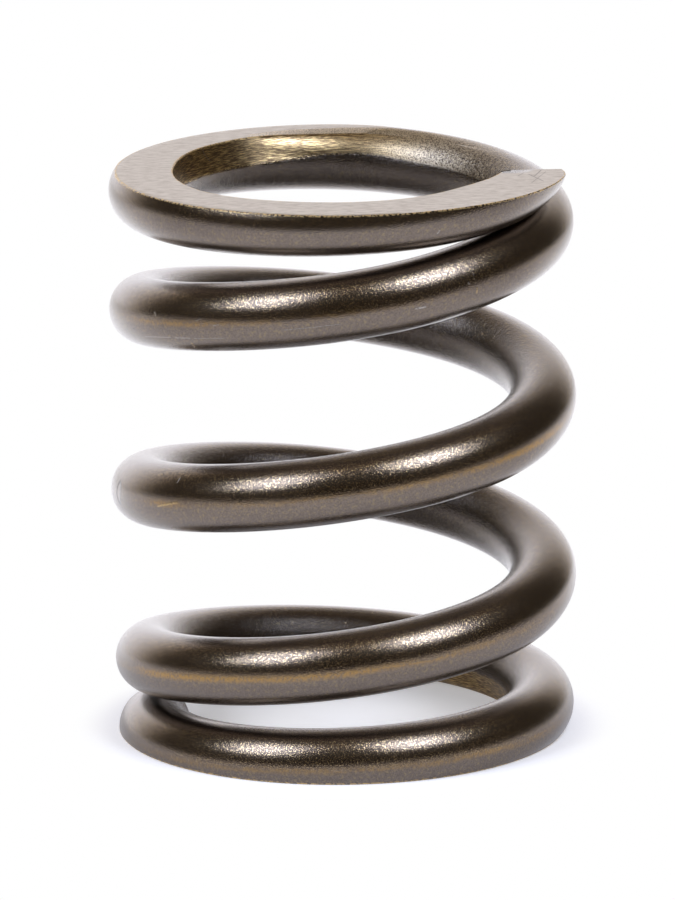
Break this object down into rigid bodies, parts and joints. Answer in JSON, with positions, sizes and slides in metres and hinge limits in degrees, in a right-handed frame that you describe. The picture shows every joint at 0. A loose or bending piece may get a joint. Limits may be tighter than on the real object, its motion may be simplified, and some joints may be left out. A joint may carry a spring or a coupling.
{
  "type": "bump stop spring",
  "caption": "Short stiff compression spring of round wire with closed, flat ground ends, used as a bump stop at the end of suspension travel.",
  "frame": {"origin": "where the spring's axis meets the bottom ground face", "axes": "+Z along the spring's axis towards the top ground face; the picture looks along +Y with +X to the right"},
  "size_m": [0.0513, 0.0513, 0.0632],
  "materials": {
    "spring_wire": "dark bronze-brown satin, shot peened, with bright ground ends"
  },
  "bodies": {
    "root": {"coil_spring": "spring_wire"}
  },
  "joints": []
}
